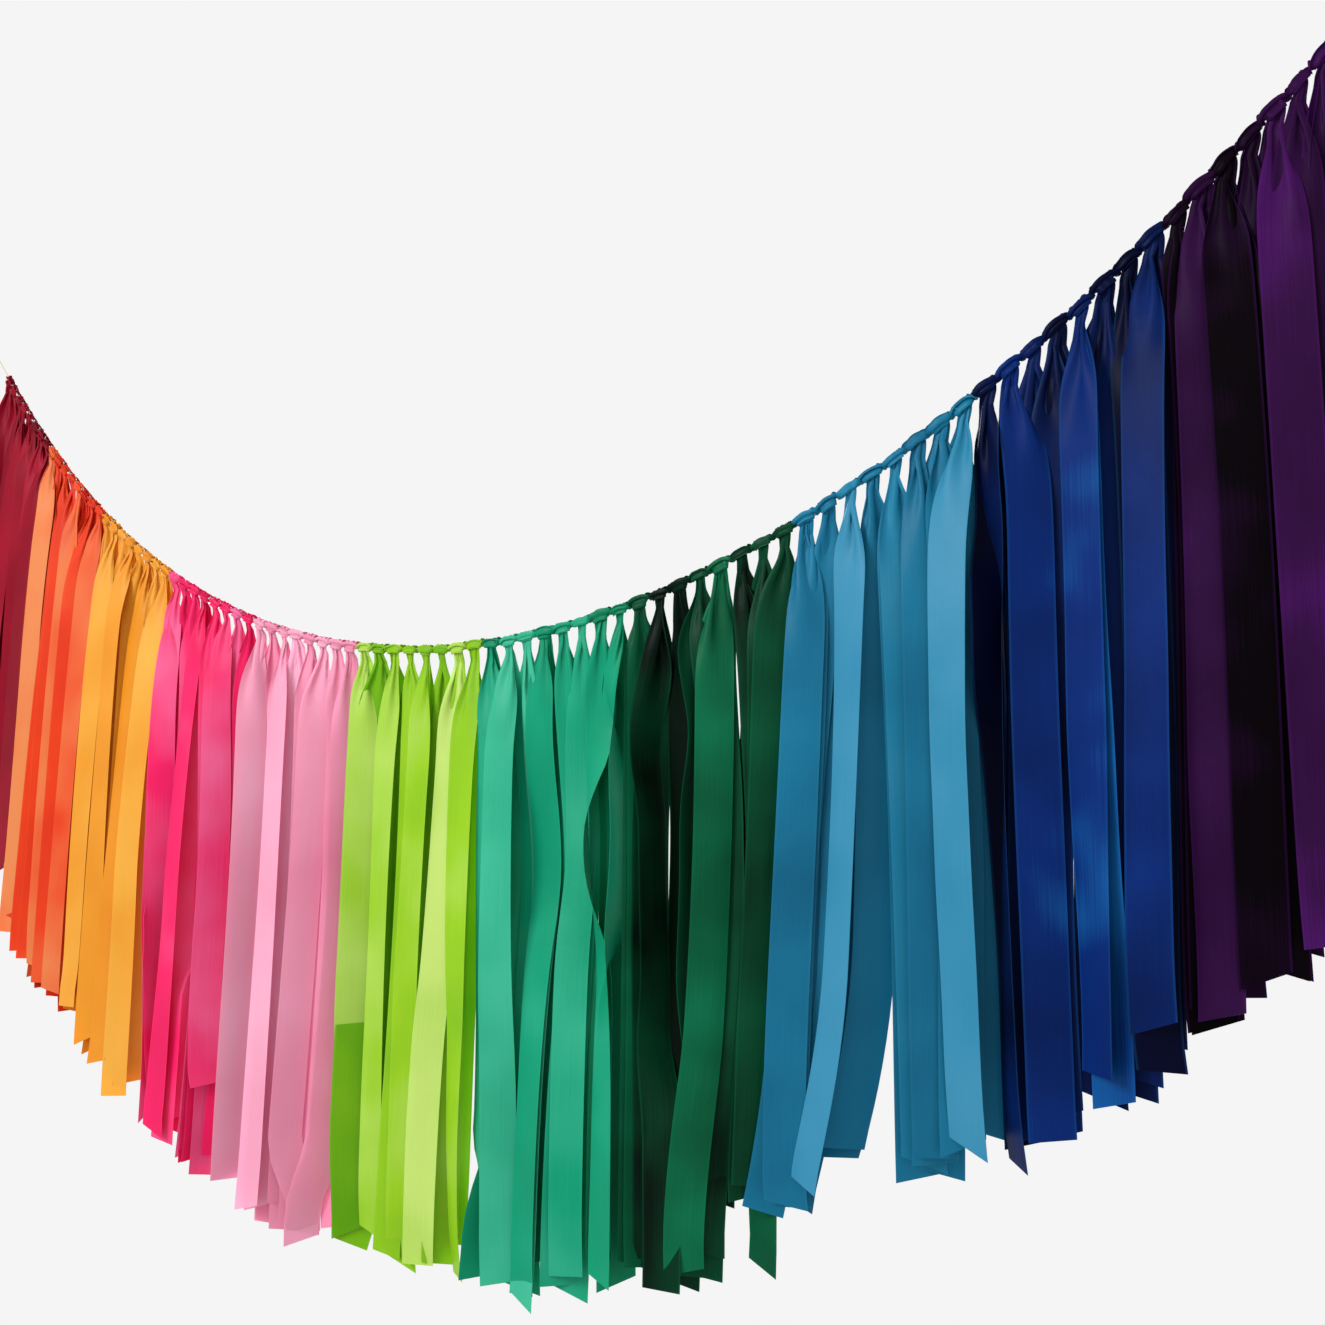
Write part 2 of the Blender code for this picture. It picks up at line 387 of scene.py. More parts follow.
# What sets one hanging tail apart from the next, each as its lowest and highest value. In
# millimetres: how much shorter it was cut, how far its cut end strays sideways, how far behind
# the twine it sits, how far down it flares, and how much it bows and curls. In degrees: it faces
# the camera, or is turned to the right or far to the left of it, and it twists on its way down.
# In radians: where that twist starts, and how far left and right a tail may turn in all. The
# rest are its places before its neighbours and the power with which its drift grows downwards.
TRIMS = (-10, 16)
FACES_CAMERA = (-20, 15)
TURNED_RIGHT = (15, 45)
TURNED_LEFT = (-80, -50)
FACING_SHARE = 0.6
LEFT_SHARE = 0.84
TWISTS = (-32, 32)
PLACES_FORWARD = (-4, 4)
DRIFT_STRAYS = (-6, 6)
TWIST_STARTS = (-1.5, 1.5)
DEPTHS = (-3, 6)
FLARES = (27, 40)
BOWS = (-9, 9)
BENDS = (1.4, 2.8)
CURLS = (-5, 5)
TURN_LEFT_LIMIT = -0.9
TURN_RIGHT_LIMIT = 1.6

# A tail turned farther left than this hangs at the front of its bunch, where light falls on it,
# unless it is one that was placed well behind.
LIT_TURN = -30
LIT_DEPTH = -11
LIT_FORWARD = 7
PLACED_BEHIND = -5

SEED = 88
draws = np.random.RandomState(SEED)


def flared(drop, flare):
    """How far a tail has opened from its gathered neck, as a share of the ribbon's width."""
    return 1 - (1 - NECK_WIDTH / RIBBON_WIDTH) * np.exp(-(drop / flare) ** FLARE_POWER)


def pushes(x, y, turn, half, active, keys, colour):
    """How far each tail is pushed across, back and round by its neighbours, and how often."""
    c, s = np.cos(turn), np.sin(turn)
    dx, dy, dt = np.zeros_like(x), np.zeros_like(x), np.zeros_like(x)
    hits = np.zeros_like(x)
    for step in range(1, NEIGHBOURS + 1):
        a, b = slice(None, -step), slice(step, None)
        both = active[a] & active[b]
        same = (colour[a] == colour[b])[:, None]
        overlap = x[a] + half[a] * abs(c[a]) + COLOUR_GAP - x[b] + half[b] * abs(c[b])
        apart = np.where(both & ~same, np.maximum(overlap, 0), 0)
        dx[a] -= apart / 2
        dx[b] += apart / 2
        hits[a] += apart > 0
        hits[b] += apart > 0
        order = np.where(keys[b] > keys[a], 1, -1)[:, None]
        for i, j, front in ((a, b, order), (b, a, -order)):
            for end in (-1, 1):
                px = x[j] + end * half[j] * c[j] - x[i]
                py = y[j] + end * half[j] * s[j] - y[i]
                along = px * c[i] + py * s[i]
                need = TAIL_GAP - front * (px * s[i] - py * c[i])
                slide = half[i] + TAIL_GAP - abs(along)
                hit = both & same & (need > 0) & (slide > 0)
                by_slide = slide < need
                amount = np.where(hit, np.minimum(need, slide), 0)
                nx = np.where(by_slide, np.sign(along) * c[i], front * s[i])
                ny = np.where(by_slide, np.sign(along) * s[i], -front * c[i])
                dx[j] += amount * nx / 2
                dy[j] += amount * ny / 2
                dx[i] -= amount * nx / 2
                dy[i] -= amount * ny / 2
                dt[j] += amount * end * (ny * c[j] - nx * s[j]) / (half[j] * TURN_ARM)
                lever = np.clip(along / half[i], -1, 1)
                dt[i] -= amount * lever * (ny * c[i] - nx * s[i]) / (half[i] * TURN_ARM)
                hits[i] += hit
                hits[j] += hit
    return dx, dy, dt, hits


def settle(tails):
    """The levels, and where each tail hangs at each of them: its x, its y and its turn."""
    own = {name: values[:, None] for name, values in tails.items()}
    levels = np.arange(0, LEVELS_DOWN_TO, LEVEL_STEP) * -1
    below = own["z"] - levels[None, :]
    active = (below > NECK_DROP) & (below < own["length"] + LEVEL_STEP)
    share = np.clip(below / own["length"], 0, 1)
    half = RIBBON_WIDTH / 2 * flared(np.maximum(below, 0), own["flare"])
    loose = np.clip((below - NECK_DROP) / NECK_RUN, 0, 1)
    loose = loose * loose * (3 - 2 * loose)
    neck_x = own["x"] + own["side"] * NECK_SPREAD
    free_x = own["x"] + own["side"] * TAIL_SPREAD + own["sweep"] * share ** own["bend"]
    free_x += own["bow"] * np.sin(share * math.pi)
    want_x = neck_x + (free_x - neck_x) * loose
    keys, turns = tails["key"], tails["turn"]
    partner = np.arange(len(keys)) ^ 1
    before = np.where(keys > keys[partner], 1, -1)[:, None]
    want_y = own["depth"] * loose - before * (1 - loose) * MM
    neck_turn = (turns + turns[partner])[:, None] * NECK_TURN_SHARE
    free_turn = own["turn"] + own["drift"] * np.sin(share * TWIST_WAVE + own["phase"])
    want_turn = neck_turn + (free_turn - neck_turn) * loose
    room = DEPTH_LIMIT - half * abs(np.sin(want_turn))
    want_y = np.clip(want_y, -room, room)
    x, y, turn = want_x.copy(), want_y.copy(), want_turn.copy()
    colour = np.arange(len(keys)) // (2 * RIBBONS_PER_COLOUR)
    held = 1 - loose
    last = np.array([np.nonzero(row)[0][-1] for row in active])
    rows = np.arange(len(levels))[None, :]
    for count in range(SETTLE_ROUNDS):
        pull = np.interp(count / SETTLE_ROUNDS, PULL_AT, PULLS)
        dx, dy, dt, hits = pushes(x, y, turn, half, active, keys, colour)
        ease = (1 - held) / np.maximum(hits * SLIDE_EASE, 1)
        x += dx * ease + (want_x - x) * pull
        y += dy * ease + (want_y - y) * pull
        turn += dt * ease + (want_turn - turn) * pull
        for field, want in ((x, want_x), (y, want_y), (turn, want_turn)):
            field[:] = np.where(rows > last[:, None], field[np.arange(len(x)), last][:, None], field)
            field[:, 1:-1] += SMOOTHING * (field[:, :-2] - 2 * field[:, 1:-1] + field[:, 2:])
            freedom = np.minimum(1, loose * NECK_FREEDOM)
            field[:] = np.where(active, want + (field - want) * freedom, want)
        room = DEPTH_LIMIT - half * abs(np.sin(turn))
        y = np.clip(y, -room, room)
    late = np.clip((below / own["length"] - CURL_SHARE) / (1 - CURL_SHARE), 0, LATEST_CURL)
    return levels, x + own["swing"] * late ** 2, y, turn


def tail_facts():
    """Where each tail starts, how long it is, and how it would hang if it hung alone."""
    names = (
        "x", "z", "side", "length", "turn", "drift", "depth", "sweep", "key", "flare", "phase", "bow",
        "bend", "swing", "painted_light",
    )
    facts = {name: [] for name in names}
    for number in range(RIBBON_COUNT):
        colour = COLOURS[number // RIBBONS_PER_COLOUR]
        point = swag(FIRST_ARC + number * HITCH_PITCH)[0] - origin
        facing = math.atan2(CAMERA_PLACE.x - point.x, point.y - CAMERA_PLACE.y)
        kind = draws.uniform()
        for side in (-1, 1):
            facts["x"].append(point.x)
            facts["z"].append(point.z)
            facts["side"].append(side)
            drop = CUT_LENGTH * LENGTH_SHARES[colour] / 2 - HITCH_TAKE
            trim = draws.uniform(*TRIMS)
            kind = 1 - kind
            spread = draws.uniform(*FACES_CAMERA) if kind < FACING_SHARE else draws.uniform(*TURNED_RIGHT)
            spread = draws.uniform(*TURNED_LEFT) if kind > LEFT_SHARE else spread
            drift = draws.uniform(*TWISTS)
            forward = draws.uniform(*PLACES_FORWARD)
            sweep = np.interp(number, DRIFT_AT, DRIFTS) + draws.uniform(*DRIFT_STRAYS)
            phase = draws.uniform(*TWIST_STARTS)
            if (number, side) in STANDING_OUT:
                spread, forward, sweep, trim, drift = STANDING_OUT[number, side]
                phase = TWIST_STARTS[0]
            turn = facing + math.radians(spread)
            facts["length"].append(drop - trim * MM)
            facts["turn"].append(min(max(turn, TURN_LEFT_LIMIT), TURN_RIGHT_LIMIT))
            facts["drift"].append(math.radians(drift))
            depth = draws.uniform(*DEPTHS)
            if spread < LIT_TURN and forward > PLACED_BEHIND:
                depth = LIT_DEPTH
                forward = max(forward, LIT_FORWARD)
            facts["depth"].append(depth * MM)
            facts["sweep"].append(sweep * MM)
            facts["key"].append(2 * number + side / 2 + forward)
            facts["flare"].append(draws.uniform(*FLARES) * MM)
            facts["phase"].append(phase)
            facts["bow"].append(draws.uniform(*BOWS) * MM)
            facts["bend"].append(draws.uniform(*BENDS))
            facts["swing"].append(CURL_SWING if number in CURLED else 0)
            # Painted highlight: a tail turned far to the left is painted paler.
            facts["painted_light"].append(CAUGHT_LIGHT if spread < LIT_TURN else 0)
    return {name: np.array(values) for name, values in facts.items()}


def curve_at(levels, values, z):
    """Values at heights between the levels, on a smooth curve through them."""
    step = levels[0] - levels[1]
    slope = np.gradient(values)
    place = np.clip((levels[0] - z) / step, 0, len(levels) - 1.001)
    k = place.astype(int)
    t = place - k
    curve = values[k] * (2 * t ** 3 - 3 * t ** 2 + 1) + values[k + 1] * (3 * t ** 2 - 2 * t ** 3)
    return curve + slope[k] * (t ** 3 - 2 * t ** 2 + t) + slope[k + 1] * (t ** 3 - t ** 2)


# A tail's rows run from under the bar to its cut end, closer together near the hitch. Its last
# stretch curls a little out of the plane it hangs in, and its pleats open below the hitch.
TAIL_ROWS = 40
TAIL_START = 12 * MM
ROW_CROWDING = 1.35
DROP_STEPS = 200
CURL_RUN = 50 * MM
PLEAT_RUN = 60 * MM


def tail_rows(tail):
    """Centres, width directions and openness of a tail's rows, from its hitch to its cut end."""
    top = facts["z"][tail]
    drop = np.linspace(0, facts["length"][tail] + 2 * LEVEL_STEP, DROP_STEPS)
    z = top - drop
    x = curve_at(levels, hang_x[tail], z)
    y = curve_at(levels, hang_y[tail], z)
    turn = curve_at(levels, hang_turn[tail], z)
    curl = np.clip((drop - facts["length"][tail] + CURL_RUN) / CURL_RUN, 0, 2) ** 2 * facts["curl"][tail]
    x += np.sin(turn) * curl
    room = DEPTH_LIMIT - RIBBON_WIDTH / 2 * abs(np.sin(turn))
    y = np.clip(y - np.cos(turn) * curl, -room, room)
    lengths = np.sqrt(np.diff(x) ** 2 + np.diff(y) ** 2 + np.diff(z) ** 2)
    run = np.concatenate([[0], np.cumsum(lengths)])
    share = np.linspace(0, 1, TAIL_ROWS) ** ROW_CROWDING
    at = TAIL_START + (facts["length"][tail] - TAIL_START) * share
    rows = [np.interp(at, run, values) for values in (x, y, z, turn)]
    centres = np.stack(rows[:3], axis=1)
    across = np.stack([np.cos(rows[3]), np.sin(rows[3]), np.zeros(TAIL_ROWS)], axis=1)
    opened = flared(at, facts["flare"][tail])
    return centres, across * facts["side"][tail], opened, at


# The hitch as points of the strand's middle, out along the twine, forward, and up across the
# twine, in millimetres, with how wide the gathered strand is there. It goes from the bar's
# middle out to its end, under the twine, up behind it, over it and down in front of it, and
# then down behind the bar. No two hitches were pulled quite alike.
BAR = ((0, 3.7, -1.4, 6.2), (3.4, 3.5, -1.6, 6.0))
CORNER = ((6.8, 2.5, -2.1, 5.0), (7.3, 0.4, -2.4, 4.4))
WRAP = ((6.2, -1.5, -1.2, 4.4), (5.0, -1.9, 0.8, 5.2), (3.4, 0.1, 2.1, 5.4), (2.4, 1.9, 0.3, 4.6))
BEHIND_BAR = ((1.7, 1.7, -4.0, 3.8),)
HITCH_ROW = 0.7 * MM
HITCH_STRAYS = (-0.35, 0.35)
HITCH_SIZES = (0.92, 1.08)
BAR_LEANS = (-0.25, 0.25)
BAR_LEAN_SHARE = 0.3


def hitch_half(side, along, over, point, loose):
    """Control rows of half a hitch, from beside the bar's middle to behind the bar."""
    rows = []
    for k, (out, front, up, width) in enumerate((*BAR[1:], *CORNER, *WRAP, *BEHIND_BAR)):
        shift = draws.uniform(*HITCH_STRAYS, 3) * MM
        centre = point + along * (side * out * MM) + FRONT * (front * MM) + over * (up * MM)
        flat = over if k < len(BAR) - 1 else along * side
        if k == len(BAR) - 1:
            flat = (over + along * side).normalized()
        rows.append([*(np.array(centre) + shift), *flat, width * MM / RIBBON_WIDTH * loose, 0])
    return rows


def spline_rows(controls, step):
    """Rows about a step apart on a smooth curve through the control rows between the ends."""
    rows = []
    for a, b, c, d in zip(controls, controls[1:], controls[2:], controls[3:]):
        count = max(2, round(float(np.linalg.norm(c[:3] - b[:3])) / step))
        for i in range(count):
            t = i / count
            bend = (-a + 3 * b - 3 * c + d) * t ** 3 + (2 * a - 5 * b + 4 * c - d) * t ** 2
            rows.append((bend + (c - a) * t + 2 * b) / 2)
    return rows


# Across, a strip is a curve that keeps its length: gathered, it folds into fine uneven pleats,
# and open it has a soft wave. The pleats' swing is looked up from how wide the strand is. Where
# the strip is hitched, its pleats are pressed flat.
COLUMNS = 18
PLEATS = 1.6
UNEVENNESS = 0.3
UNEVEN_WAVES = 1.3
OPEN_WAVES = 0.75
WIDEST_SWING = 2.35
SWING_STEPS = 30
SWINGS = np.linspace(0, WIDEST_SWING, SWING_STEPS)
HITCH_PRESS = 0.25


def cross_sections(openness, fine, phases):
    """Offsets across and out of each row's middle, in metres, one row for each openness."""
    t = (np.arange(COLUMNS) + 0.5) / COLUMNS
    uneven = 1 + UNEVENNESS * np.sin(math.tau * (UNEVEN_WAVES * t + phases[1]))
    pleat = np.sin(math.tau * (PLEATS * t + phases[0])) * uneven
    wave = np.sin(math.tau * (OPEN_WAVES * t + phases[2]))
    shape = fine[:, None] * pleat + (1 - fine[:, None]) * wave
    widths = np.cos(SWINGS[:, None, None] * shape).mean(axis=2)
    swing = np.array([np.interp(-o, -w, SWINGS) for o, w in zip(openness, widths.T)])
    angle = swing[:, None] * shape
    piece = RIBBON_WIDTH / COLUMNS
    start = np.zeros((len(openness), 1))
    u = np.concatenate([start, np.cumsum(np.cos(angle), axis=1)], axis=1) * piece
    v = np.concatenate([start, np.cumsum(np.sin(angle), axis=1)], axis=1) * piece
    u -= u.mean(axis=1, keepdims=True)
    v -= v.mean(axis=1, keepdims=True)
    tilt = (u * v).sum(axis=1, keepdims=True) / (u * u).sum(axis=1, keepdims=True)
    return u, (v - tilt * u) * (1 - (1 - HITCH_PRESS) * fine[:, None])


# A ribbon is one strip: its left tail from the cut end up, the hitch, and its right tail down.
# Both ends are cut a little askew. The tails' painted light and shade comes in below the hitch.
CUT_SLANTS = (-10, 10)
SLANT_POWER = 6
PAINTED_LIGHT_RUN = 70 * MM
CLOTH_THICKNESS = 0.25 * MM
RIM_ANGLE = math.radians(60)


def strip_rows(number):
    """Rows of one ribbon: middle, width direction, openness, and how unhitched the cloth is."""
    point, along = swag(FIRST_ARC + number * HITCH_PITCH)
    point = point - origin
    over = Vector((-along.z, 0, along.x))
    lean = draws.uniform(*BAR_LEANS)
    along_bar = (along + over * lean * BAR_LEAN_SHARE).normalized()
    size = draws.uniform(*HITCH_SIZES)
    sides = []
    for side in (-1, 1):
        tail = 2 * number + (side > 0)
        centres, across, opened, at = tail_rows(tail)
        fine = 1 - np.clip((at - TAIL_START) / PLEAT_RUN, 0, 1)
        rows = np.column_stack([centres, across, opened, 1 - fine])
        sides.append((rows, hitch_half(side, along_bar, over, point, size)))
    middle = point + FRONT * (BAR[0][1] * MM) + over * (BAR[0][2] * MM)
    bar = [*middle, *over, BAR[0][3] * MM / RIBBON_WIDTH * size, 0]
    (left, left_half), (right, right_half) = sides
    controls = [left[1], left[0], *reversed(left_half), bar, *right_half, right[0], right[1]]
    hitch = spline_rows([np.array(c, float) for c in controls], HITCH_ROW)
    return np.concatenate([left[:0:-1], hitch, right])


def make_ribbon(number, name, tone):
    """One ribbon's mesh, with its cloth's own coordinates and its shade, part of it painted light and
    shade.
    """
    rows = strip_rows(number)
    centres = rows[:, :3]
    travel = np.gradient(centres, axis=0)
    travel /= np.linalg.norm(travel, axis=1, keepdims=True)
    across = rows[:, 3:6]
    across = across - travel * (across * travel).sum(axis=1, keepdims=True)
    across /= np.linalg.norm(across, axis=1, keepdims=True)
    outward = np.cross(travel, across)
    u, v = cross_sections(rows[:, 6], 1 - np.clip(rows[:, 7], 0, 1), draws.uniform(0, 1, 3))
    run = np.concatenate([[0], np.cumsum(np.linalg.norm(np.diff(centres, axis=0), axis=1))])
    on_left = run < run[-1] / 2
    ends = np.clip(abs(run / run[-1] - 0.5) * 2, 0, 1) ** SLANT_POWER * np.where(on_left, -1, 1)
    slants = np.where(on_left, *draws.uniform(*CUT_SLANTS, 2)) * MM
    t = np.linspace(-0.5, 0.5, COLUMNS + 1)
    spots = centres[:, None] + across[:, None] * u[..., None] + outward[:, None] * v[..., None]
    spots += travel[:, None] * (ends * slants)[:, None, None] * t[None, :, None]
    width = COLUMNS + 1
    corners = [(r * width + c, r * width + c + 1, (r + 1) * width + c + 1, (r + 1) * width + c)
               for r in range(len(rows) - 1) for c in range(COLUMNS)]
    ribbon = mesh_object(name, spots.reshape(-1, 3), corners)
    cut = np.stack(np.broadcast_arrays(t[None, :] * RIBBON_WIDTH, run[:, None]), axis=2).reshape(-1, 2)
    layer = ribbon.data.uv_layers.new(name="cut")
    loops = np.zeros(len(ribbon.data.loops), int)
    ribbon.data.loops.foreach_get("vertex_index", loops)
    layer.data.foreach_set("uv", cut[loops].ravel())
    # Painted light and shade: each tail's own offset from its ribbon's shade, eased in below the hitch.
    painted_lights = np.where(on_left, *facts["painted_light"][2 * number:2 * number + 2])
    painted_lights *= np.clip(abs(run - run[-1] / 2) / PAINTED_LIGHT_RUN, 0, 1)
    shade = ribbon.data.attributes.new("shade", "FLOAT", "POINT")
    shade.data.foreach_set("value", np.repeat(tone + painted_lights, width))
    skin = ribbon.modifiers.new("cloth", "SOLIDIFY")
    skin.thickness = CLOTH_THICKNESS
    skin.offset = 0
    bpy.context.view_layer.objects.active = ribbon
    bpy.ops.object.modifier_apply(modifier=skin.name)
    ribbon.data.set_sharp_from_angle(angle=RIM_ANGLE)
    return ribbon


# Satin woven from polyester. Its long warp floats lie side by side and give a soft shine along
# the ribbon, and a tight woven selvedge a millimetre wide runs down each edge, duller and a
# little paler, partly its own colour and partly a painted highlight along the edges. The warp's
# fine lines are drawn coarser than the real tenth of a millimetre, so that they show. The colour
# varies slowly over the cloth, partly as dye and partly as painted patches of light and shade,
# and handling has left it slightly wavy.
SELVEDGE = 1.1 * MM
SELVEDGE_SHARES = (1.3, 0.7)
SELVEDGE_PALER_AND_LIT = 0.08
SELVEDGE_DULLER = 0.12
WARP_LINE = 0.7 * MM
WARP_RUN = 70 * MM
WARP_HEIGHT = 0.08 * MM
DYE_AND_LIGHT_PATCH = 90 * MM
HANDLED_WAVE = 16 * MM
HANDLED_HEIGHT = 0.9 * MM
SATIN_ROUGHNESS = (0.30, 0.46)

# A tone is the ribbon's shade, painted light and shade included, plus a share of the warp's noise
# and of the noise of dye and painted light patches, which are 0.5 on average. It runs from deep
# to plain to bright between these three values.
WARP_TONE = 0.25
DYE_AND_LIGHT_TONE = 1.6
DEEP_TONE = 0.925
PLAIN_TONE = 1.925
BRIGHT_TONE = 2.925


def satin(name, deep, plain, bright, gloss, glow):
    """Satin in one colour: its three shades, how glossy it is and how much light it lets through."""
    material, tree = new_material(name)
    cut = add(tree, "UVMap", {"uv_map": "cut"}).outputs["UV"]
    parts = add(tree, "SeparateXYZ", Vector=cut)
    off = add(tree, "Math", {"operation": "ABSOLUTE"}, i0=parts.outputs["X"])
    edge = add(tree, "MapRange", Value=off.outputs[0],
               From_Min=RIBBON_WIDTH / 2 - SELVEDGE * SELVEDGE_SHARES[0],
               From_Max=RIBBON_WIDTH / 2 - SELVEDGE * SELVEDGE_SHARES[1])
    lines = add(tree, "Mapping", {"vector_type": "POINT"}, Vector=cut,
                Scale=(1 / WARP_LINE, 1 / WARP_RUN, 1))
    warp = add(tree, "TexNoise", {"noise_dimensions": "2D"}, Vector=lines.outputs[0],
               Scale=1.0, Detail=2.0)
    place = add(tree, "TexCoord").outputs["Object"]
    # Dye, and painted patches of light and shade, varying slowly over the cloth.
    dye_and_light_patches = add(tree, "TexNoise", Vector=place, Scale=1 / DYE_AND_LIGHT_PATCH, Detail=2.0)
    handled = add(tree, "TexNoise", Vector=place, Scale=1 / HANDLED_WAVE, Detail=3.0, Roughness=0.55)
    # The ribbon's spool shade, with the painted light and shade of each ribbon and tail.
    spool_and_painted_light = add(tree, "Attribute", {"attribute_name": "shade"}).outputs["Fac"]
    tone = add(tree, "Math", {"operation": "MULTIPLY_ADD"}, i0=warp.outputs["Fac"], i1=WARP_TONE,
               i2=spool_and_painted_light)
    tone = add(tree, "Math", {"operation": "MULTIPLY_ADD"}, i0=dye_and_light_patches.outputs["Fac"], i1=DYE_AND_LIGHT_TONE,
               i2=tone.outputs[0])
    low = add(tree, "MapRange", Value=tone.outputs[0], From_Min=DEEP_TONE, From_Max=PLAIN_TONE)
    high = add(tree, "MapRange", Value=tone.outputs[0], From_Min=PLAIN_TONE, From_Max=BRIGHT_TONE)
    colour = blend(tree, low.outputs[0], linear(deep), linear(plain))
    colour = blend(tree, high.outputs[0], colour, linear(bright))
    # Paler selvedge: partly its own colour, partly a painted highlight along the edges.
    paler_and_lit_edge = add(tree, "Math", {"operation": "MULTIPLY"}, i0=edge.outputs[0], i1=SELVEDGE_PALER_AND_LIT)
    colour = blend(tree, paler_and_lit_edge.outputs[0], colour, linear(bright))
    rough = add(tree, "MapRange", Value=warp.outputs["Fac"], To_Min=SATIN_ROUGHNESS[0],
                To_Max=SATIN_ROUGHNESS[1])
    rough = add(tree, "Math", {"operation": "MULTIPLY_ADD"}, i0=edge.outputs[0], i1=SELVEDGE_DULLER,
                i2=rough.outputs[0])
    fine = add(tree, "Bump", Strength=0.25, Distance=WARP_HEIGHT, Height=warp.outputs["Fac"])
    soft = add(tree, "Bump", Strength=0.35, Distance=HANDLED_HEIGHT, Height=handled.outputs["Fac"],
               Normal=fine.outputs["Normal"])
    threads = add(tree, "Tangent", {"direction_type": "UV_MAP", "uv_map": "cut"})
    shader = add(tree, "BsdfPrincipled", Base_Color=colour, Roughness=rough.outputs[0],
                 Normal=soft.outputs["Normal"], Tangent=threads.outputs[0], Anisotropic=0.55,
                 Specular_IOR_Level=gloss, Sheen_Weight=0.04, Sheen_Roughness=0.35,
                 Sheen_Tint=linear(bright))
    through = add(tree, "BsdfTranslucent", Color=colour, Normal=soft.outputs["Normal"])
    both = add(tree, "MixShader", i0=glow, i1=shader.outputs["BSDF"], i2=through.outputs["BSDF"])
    add(tree, "OutputMaterial", Surface=both.outputs[0])
    return material


# The deep, plain and bright shade of each colour, how glossy it is, how much light it lets
# through, and where each of its eight ribbons lies between the shades: 0 is deep, 1 plain and
# 2 bright, partly as off several spools and partly as painted light and shade, darker for a
# ribbon that hangs in shade and paler for one that is lit.
SATINS = {
    "red": ("#5C0214", "#8C0420", "#AA1632", 0.05, 0.25, (0.6, 0.9, 0.5, 1.0, 0.7, 0.4, 0.9, 0.6)),
    "orange": ("#C61E08", "#DC3A10", "#DE844E", 0.10, 0.25, (1.2, 0.2, 0.7, 0.1, 1.2, 0.1, 0.5, 0.9)),
    "gold": ("#DC860C", "#E89C24", "#F0BA4A", 0.18, 0.35, (0.4, 0.9, 1.1, 0.6, 1.0, 0.5, 1.2, 0.9)),
    "hot_pink": ("#DE1058", "#F0206C", "#F07CB0", 0.14, 0.35, (1.5, 0.6, 0.9, 0.4, 1.0, 0.7, 1.8, 0.8)),
    "light_pink": ("#EC8AB2", "#F4AECA", "#F8C8DE", 0.16, 0.45, (1.2, 0.6, 1.0, 1.4, 0.4, 1.3, 0.9, 0.6)),
    "lime": ("#6CB40C", "#A2D420", "#D2EA80", 0.16, 0.4, (1.3, 0.2, 0.5, 0.4, 0.4, 0.3, 1.3, 0.6)),
    "jade": ("#047A50", "#0CA078", "#48C4A0", 0.12, 0.3, (0.5, 1.3, 1.1, 0.4, 0.9, 1.0, 0.4, 0.5)),
    "forest": ("#02120A", "#085C3A", "#149468", 0.06, 0.14, (0.9, 0.1, 0.1, 0.6, 1.1, 0.3, 0.5, 0.4)),
    "light_blue": ("#0C5A7C", "#1A7CA0", "#4290B2", 0.1, 0.22, (0.8, 0.4, 0.9, 0.7, 0.9, 0.6, 0.9, 0.9)),
    "royal_blue": ("#030624", "#08286C", "#1E7CC4", 0.04, 0.12, (0.1, 0.8, 0.3, 0.1, 0.5, 0.2, 0.0, 0.1)),
    "purple": ("#070307", "#300E3C", "#661E88", 0.02, 0.08, (0.1, 0.6, 0.0, 0.2, 0.8, 0.7, 1.0, 0.9)),
}

facts = tail_facts()
facts["curl"] = draws.uniform(*CURLS, 2 * RIBBON_COUNT) * MM
# Painted light and shade: each tail's shade strays at random from its ribbon's.
facts["painted_light"] += draws.uniform(-PAINTED_LIGHT_STRAY, PAINTED_LIGHT_STRAY, 2 * RIBBON_COUNT)
levels, hang_x, hang_y, hang_turn = settle(facts)
for index, colour in enumerate(COLOURS):
    finish = satin(f"{colour}_polyester_satin", *SATINS[colour][:5])
    for spot in range(1, RIBBONS_PER_COLOUR + 1):
        first = spot - (spot - 1) % 2
        node = f"{colour}_ribbon_{spot}"
        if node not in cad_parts:
            node = f"{colour}_ribbons_{first}_{first + 1}"
        number = index * RIBBONS_PER_COLOUR + spot - 1
        ribbon = make_ribbon(number, f"{colour}_satin_{spot}", SATINS[colour][5][spot - 1])
        ribbon.data.materials.append(finish)
        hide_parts(node)
        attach(ribbon, node)

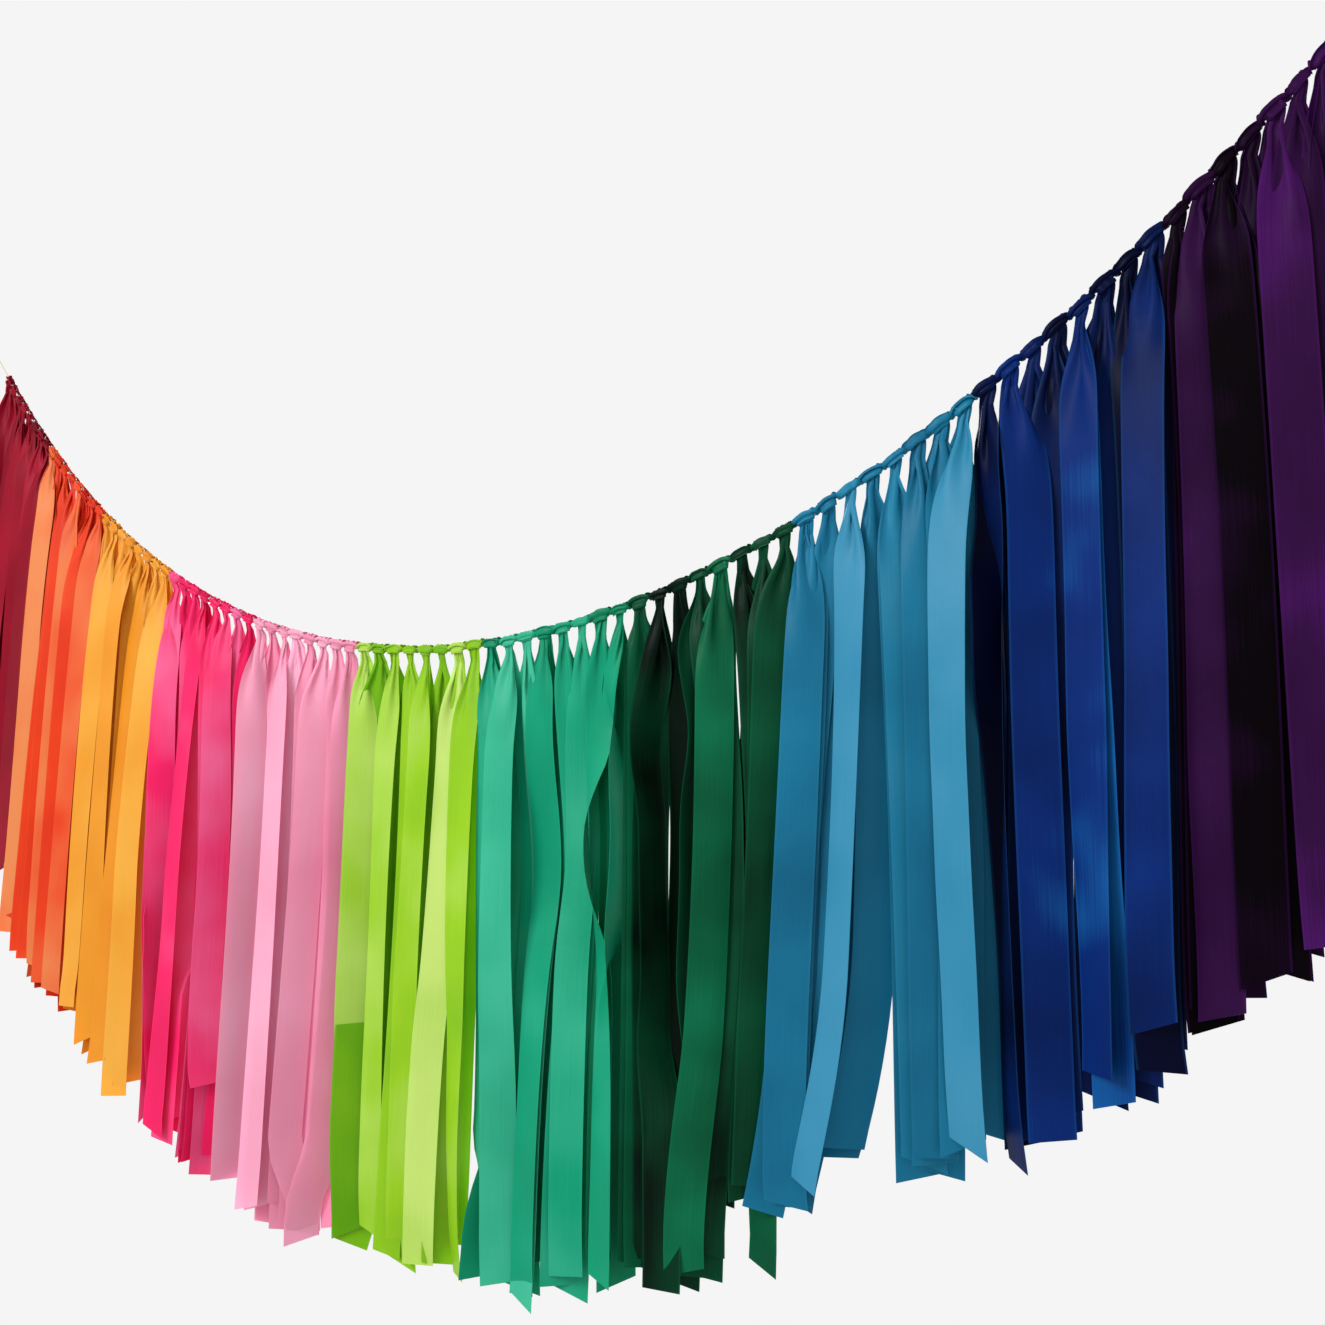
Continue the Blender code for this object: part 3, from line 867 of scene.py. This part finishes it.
# Room: a pale floor well below the garland, a white surround, and two large soft studio lamps,
# one before the garland and one behind it.
MIDDLE = (0.7, 0, -0.5)
FLOOR_DROP = 2.1
FLOOR_SIDE = 5.0
FLOOR_PATCHES_A_METRE = 9.0

bpy.ops.mesh.primitive_plane_add(size=FLOOR_SIDE, location=(MIDDLE[0], 0, -FLOOR_DROP))
floor = bpy.context.object
floor.name = "floor"
pale, tree = new_material("pale_floor")
place = add(tree, "TexCoord").outputs["Object"]
patches = add(tree, "TexNoise", Vector=place, Scale=FLOOR_PATCHES_A_METRE, Detail=2.0)
shade = blend(tree, patches.outputs["Fac"], linear("#ACACAC"), linear("#B2B2B2"))
shader = add(tree, "BsdfPrincipled", Base_Color=shade, Roughness=0.7)
add(tree, "OutputMaterial", Surface=shader.outputs["BSDF"])
floor.data.materials.append(pale)

world = bpy.data.worlds.new("studio")
world.use_nodes = True
world.node_tree.nodes.clear()
bpy.context.scene.world = world
tree = world.node_tree
rays = add(tree, "LightPath")
seen = add(tree, "Math", {"operation": "MAXIMUM"}, i0=rays.outputs["Is Camera Ray"],
           i1=rays.outputs["Is Glossy Ray"])
seen = add(tree, "Math", {"operation": "MAXIMUM"}, i0=seen.outputs[0],
           i1=rays.outputs["Is Transmission Ray"])
around = add(tree, "Background", Color=(1, 1, 1, 1), Strength=0.95)
backdrop = add(tree, "Background", Color=linear("#F5F5F5"), Strength=1.0)
both = add(tree, "MixShader", i0=seen.outputs[0], i1=around.outputs[0], i2=backdrop.outputs[0])
add(tree, "OutputWorld", Surface=both.outputs[0])


def lamp(name, place, aim, side, power):
    """A square soft lamp at a place, aimed at another."""
    data = bpy.data.lights.new(name, "AREA")
    data.size = side
    data.energy = power
    thing = bpy.data.objects.new(name, data)
    thing.location = place
    thing.rotation_euler = (Vector(aim) - Vector(place)).to_track_quat("-Z", "Y").to_euler()
    bpy.context.scene.collection.objects.link(thing)


lamp("key", (-0.3, -2.2, 0.8), MIDDLE, 1.2, 60)
lamp("rim", (-1.2, 1.6, 0.3), MIDDLE, 1.4, 90)
